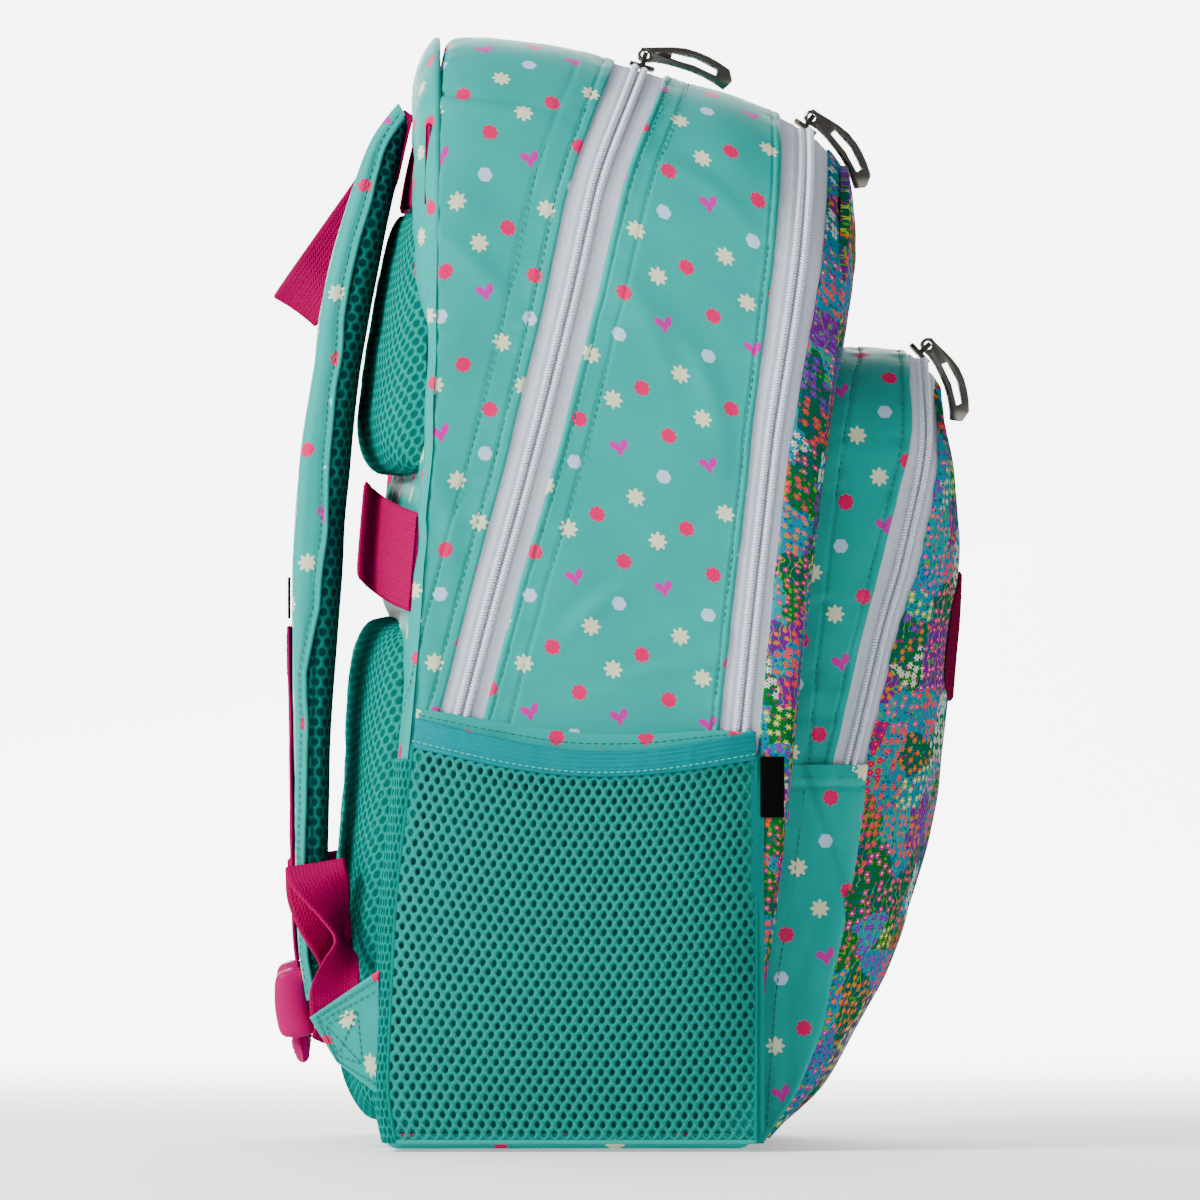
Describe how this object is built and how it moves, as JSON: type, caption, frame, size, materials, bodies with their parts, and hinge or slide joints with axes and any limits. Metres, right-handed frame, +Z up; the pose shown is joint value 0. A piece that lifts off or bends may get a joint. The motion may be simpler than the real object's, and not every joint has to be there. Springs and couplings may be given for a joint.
{
  "type": "school backpack",
  "caption": "Upright school backpack with two zipped compartments, a zipped front pocket, side mesh pockets, padded back, shoulder straps and a carry handle.",
  "frame": {"origin": "bottom centre of the backpack's bounding box, on the surface it stands on", "axes": "+Z up, -Y towards the front pocket, +Y towards the wearer's back, X across; left is the wearer's left, -X"},
  "size_m": [0.3296, 0.279, 0.44],
  "materials": {
    "mint_satin": "soft satin weave",
    "meadow_satin": "soft satin weave",
    "zip_tape": "knitted tape",
    "zip_coil": "nylon coil",
    "spacer_mesh": "open knitted mesh",
    "elastic": "ribbed elastic",
    "webbing": "plain woven webbing",
    "buckle_plastic": "moulded",
    "board": "matt",
    "lining": "plain",
    "zip_metal": "darkened nickel plate",
    "label": "woven satin",
    "patch": "embroidered"
  },
  "bodies": {
    "bag": {"rear_gusset": "mint_satin", "rear_zip_tape": "zip_tape", "rear_zip_coil": "zip_coil", "middle_gusset": "mint_satin", "front_zip_tape": "zip_tape", "front_zip_coil": "zip_coil", "front_gusset": "meadow_satin", "lower_side_left": "mint_satin", "lower_side_right": "mint_satin", "back_panel": "mint_satin", "back_stiffener": "board", "top_yoke": "mint_satin", "base_panel": "mint_satin", "base_stiffener": "board", "divider_panel": "lining", "front_panel": "meadow_satin", "pocket_gusset": "mint_satin", "pocket_zip_tape": "zip_tape", "pocket_zip_coil": "zip_coil", "pocket_lower_gusset_left": "mint_satin", "pocket_lower_gusset_right": "mint_satin", "pocket_front": "meadow_satin", "front_patch": "patch", "mesh_pocket_left": "spacer_mesh", "mesh_pocket_right": "spacer_mesh", "pocket_elastic_left": "elastic", "pocket_elastic_right": "elastic", "upper_pad_left": "spacer_mesh", "upper_pad_right": "spacer_mesh", "lumbar_pad": "spacer_mesh", "trolley_band": "webbing", "anchor_band": "webbing", "wing_tab_left": "mint_satin", "wing_tab_right": "mint_satin", "adjuster_webbing_left": "webbing", "adjuster_webbing_right": "webbing", "side_label": "label"},
    "carry_handle": {"carry_handle": "webbing"},
    "shoulder_strap_left": {"strap_pad_left": "spacer_mesh", "strap_face_left": "mint_satin", "strap_webbing_left": "webbing", "strap_label": "label"},
    "ladder_lock_left": {"ladder_lock_left": "buckle_plastic"},
    "shoulder_strap_right": {"strap_pad_right": "spacer_mesh", "strap_face_right": "mint_satin", "strap_webbing_right": "webbing"},
    "ladder_lock_right": {"ladder_lock_right": "buckle_plastic"},
    "rear_zip_slider_left": {"rear_zip_slider_left": "zip_metal"},
    "rear_zip_pull_left": {"rear_zip_pull_left": "zip_metal"},
    "rear_zip_slider_right": {"rear_zip_slider_right": "zip_metal"},
    "rear_zip_pull_right": {"rear_zip_pull_right": "zip_metal"},
    "front_zip_slider_left": {"front_zip_slider_left": "zip_metal"},
    "front_zip_pull_left": {"front_zip_pull_left": "zip_metal"},
    "front_zip_slider_right": {"front_zip_slider_right": "zip_metal"},
    "front_zip_pull_right": {"front_zip_pull_right": "zip_metal"},
    "pocket_zip_slider_left": {"pocket_zip_slider_left": "zip_metal"},
    "pocket_zip_pull_left": {"pocket_zip_pull_left": "zip_metal"},
    "pocket_zip_slider_right": {"pocket_zip_slider_right": "zip_metal"},
    "pocket_zip_pull_right": {"pocket_zip_pull_right": "zip_metal"}
  },
  "joints": [
    {"name": "carry_handle_lift", "type": "hinge", "parent": "bag", "child": "carry_handle", "pos_m": [0, 0.08589, 0.4094], "axis": [1, 0, 0], "range_deg": [0, 120]},
    {"name": "strap_left_swing", "type": "hinge", "parent": "bag", "child": "shoulder_strap_left", "pos_m": [-0.062, 0.08709, 0.4102], "axis": [1, 0, 0], "range_deg": [0, 16]},
    {"name": "ladder_lock_left_tilt", "type": "hinge", "parent": "shoulder_strap_left", "child": "ladder_lock_left", "pos_m": [-0.09, 0.13129, 0.066], "axis": [1, 0, 0], "range_deg": [0, 50]},
    {"name": "strap_right_swing", "type": "hinge", "parent": "bag", "child": "shoulder_strap_right", "pos_m": [0.062, 0.08709, 0.4102], "axis": [1, 0, 0], "range_deg": [0, 16]},
    {"name": "ladder_lock_right_tilt", "type": "hinge", "parent": "shoulder_strap_right", "child": "ladder_lock_right", "pos_m": [0.09, 0.13129, 0.066], "axis": [1, 0, 0], "range_deg": [0, 50]},
    {"name": "rear_zip_slide_left", "type": "slide", "parent": "bag", "child": "rear_zip_slider_left", "axis": [-1, 0, 0], "range_m": [0, 0.066]},
    {"name": "rear_zip_pull_left_swing", "type": "hinge", "parent": "rear_zip_slider_left", "child": "rear_zip_pull_left", "pos_m": [-0.009, -0.00982, 0.4348], "axis": [-1, 0, 0], "range_deg": [0, 150]},
    {"name": "rear_zip_slide_right", "type": "slide", "parent": "bag", "child": "rear_zip_slider_right", "axis": [1, 0, 0], "range_m": [0, 0.066]},
    {"name": "rear_zip_pull_right_swing", "type": "hinge", "parent": "rear_zip_slider_right", "child": "rear_zip_pull_right", "pos_m": [0.009, -0.00982, 0.4348], "axis": [-1, 0, 0], "range_deg": [0, 150]},
    {"name": "front_zip_slide_left", "type": "slide", "parent": "bag", "child": "front_zip_slider_left", "axis": [-1, 0, 0], "range_m": [0, 0.066]},
    {"name": "front_zip_pull_left_swing", "type": "hinge", "parent": "front_zip_slider_left", "child": "front_zip_pull_left", "pos_m": [-0.009, -0.0766, 0.40984], "axis": [-1, 0, 0], "range_deg": [0, 150]},
    {"name": "front_zip_slide_right", "type": "slide", "parent": "bag", "child": "front_zip_slider_right", "axis": [1, 0, 0], "range_m": [0, 0.066]},
    {"name": "front_zip_pull_right_swing", "type": "hinge", "parent": "front_zip_slider_right", "child": "front_zip_pull_right", "pos_m": [0.009, -0.0766, 0.40984], "axis": [-1, 0, 0], "range_deg": [0, 150]},
    {"name": "pocket_zip_slide_left", "type": "slide", "parent": "bag", "child": "pocket_zip_slider_left", "axis": [-1, 0, 0], "range_m": [0, 0.048]},
    {"name": "pocket_zip_pull_left_swing", "type": "hinge", "parent": "pocket_zip_slider_left", "child": "pocket_zip_pull_left", "pos_m": [-0.009, -0.12311, 0.31856], "axis": [-1, 0, 0], "range_deg": [0, 165]},
    {"name": "pocket_zip_slide_right", "type": "slide", "parent": "bag", "child": "pocket_zip_slider_right", "axis": [1, 0, 0], "range_m": [0, 0.048]},
    {"name": "pocket_zip_pull_right_swing", "type": "hinge", "parent": "pocket_zip_slider_right", "child": "pocket_zip_pull_right", "pos_m": [0.009, -0.12311, 0.31856], "axis": [-1, 0, 0], "range_deg": [0, 165]}
  ]
}
